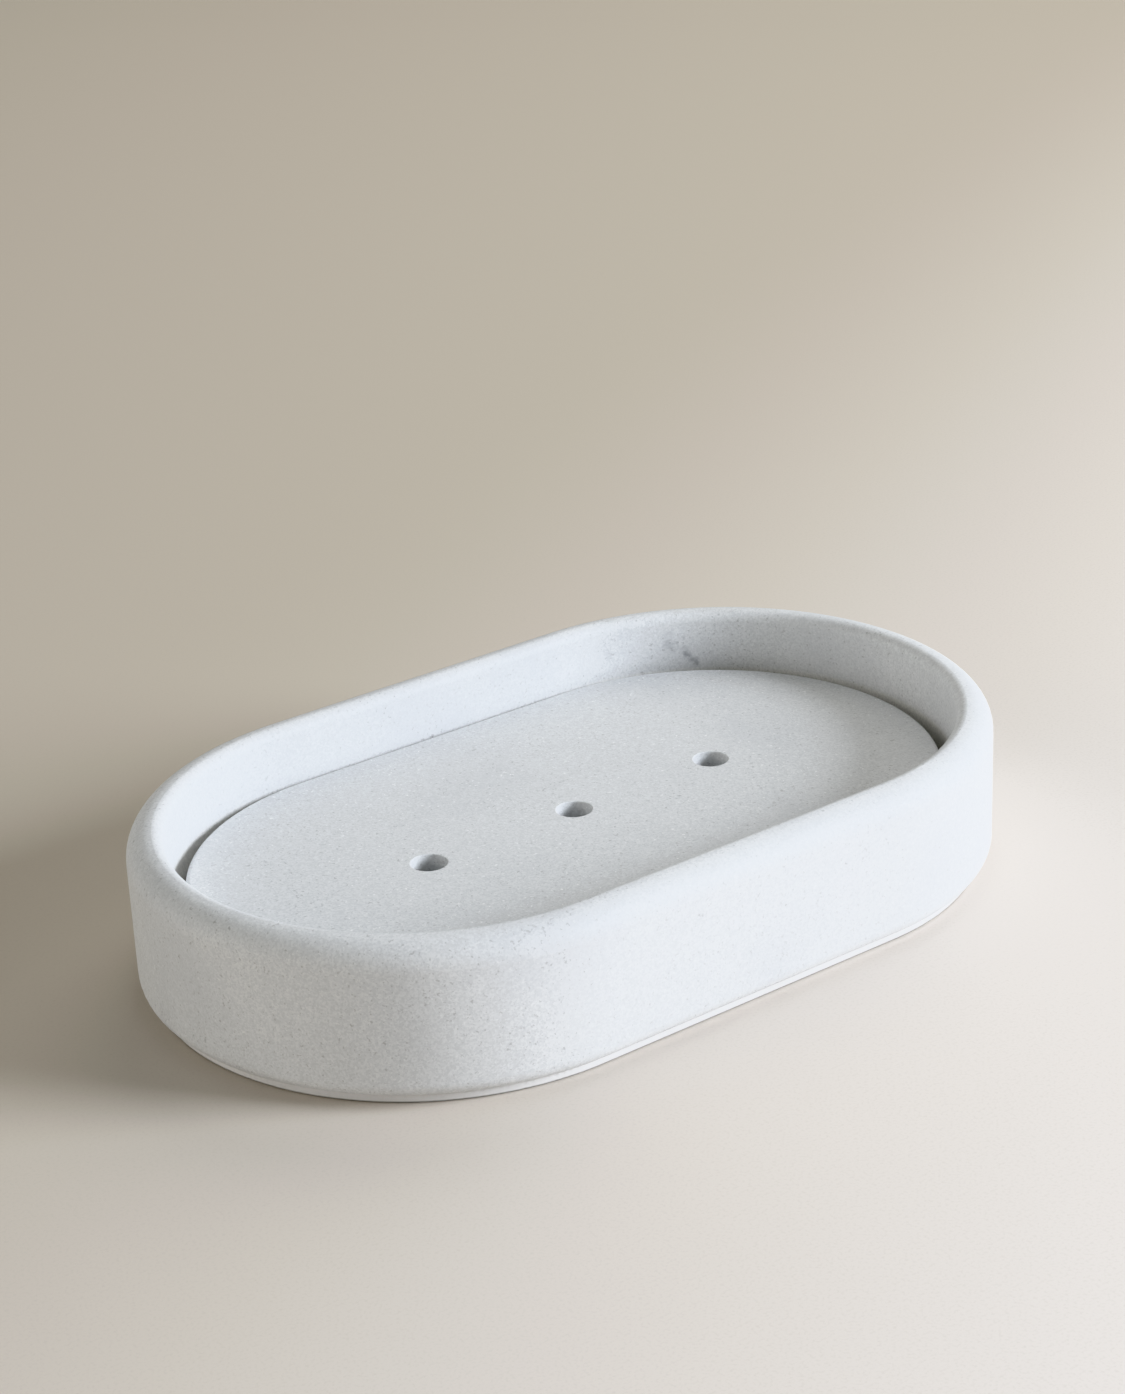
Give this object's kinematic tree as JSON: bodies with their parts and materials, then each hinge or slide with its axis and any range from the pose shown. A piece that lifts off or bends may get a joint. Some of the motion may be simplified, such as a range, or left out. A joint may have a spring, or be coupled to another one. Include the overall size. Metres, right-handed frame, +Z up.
{
  "type": "soap dish",
  "caption": "Stone soap dish with half-round ends, a soft rounded rim and a lift-out plate whose holes drain into a sump below it.",
  "frame": {"origin": "middle of the rubber base's underside, on the surface that the dish stands on", "axes": "+X along the length, +Y across towards the back long side, +Z up"},
  "size_m": [0.15, 0.092, 0.0266],
  "materials": {
    "marble": "honed fine-grained white marble",
    "bumper_silicone": "clear soft silicone",
    "base_rubber": "matt pale non-slip"
  },
  "bodies": {
    "tray": {"tray_body": "marble", "non_slip_base": "base_rubber"},
    "plate": {"drain_plate": "marble", "plate_bumper_left_front": "bumper_silicone", "plate_bumper_left_rear": "bumper_silicone", "plate_bumper_right_front": "bumper_silicone", "plate_bumper_right_rear": "bumper_silicone"}
  },
  "joints": [
    {"name": "plate_lift", "type": "slide", "parent": "tray", "child": "plate", "axis": [0, 0, 1], "range_m": [0, 0.04]}
  ]
}
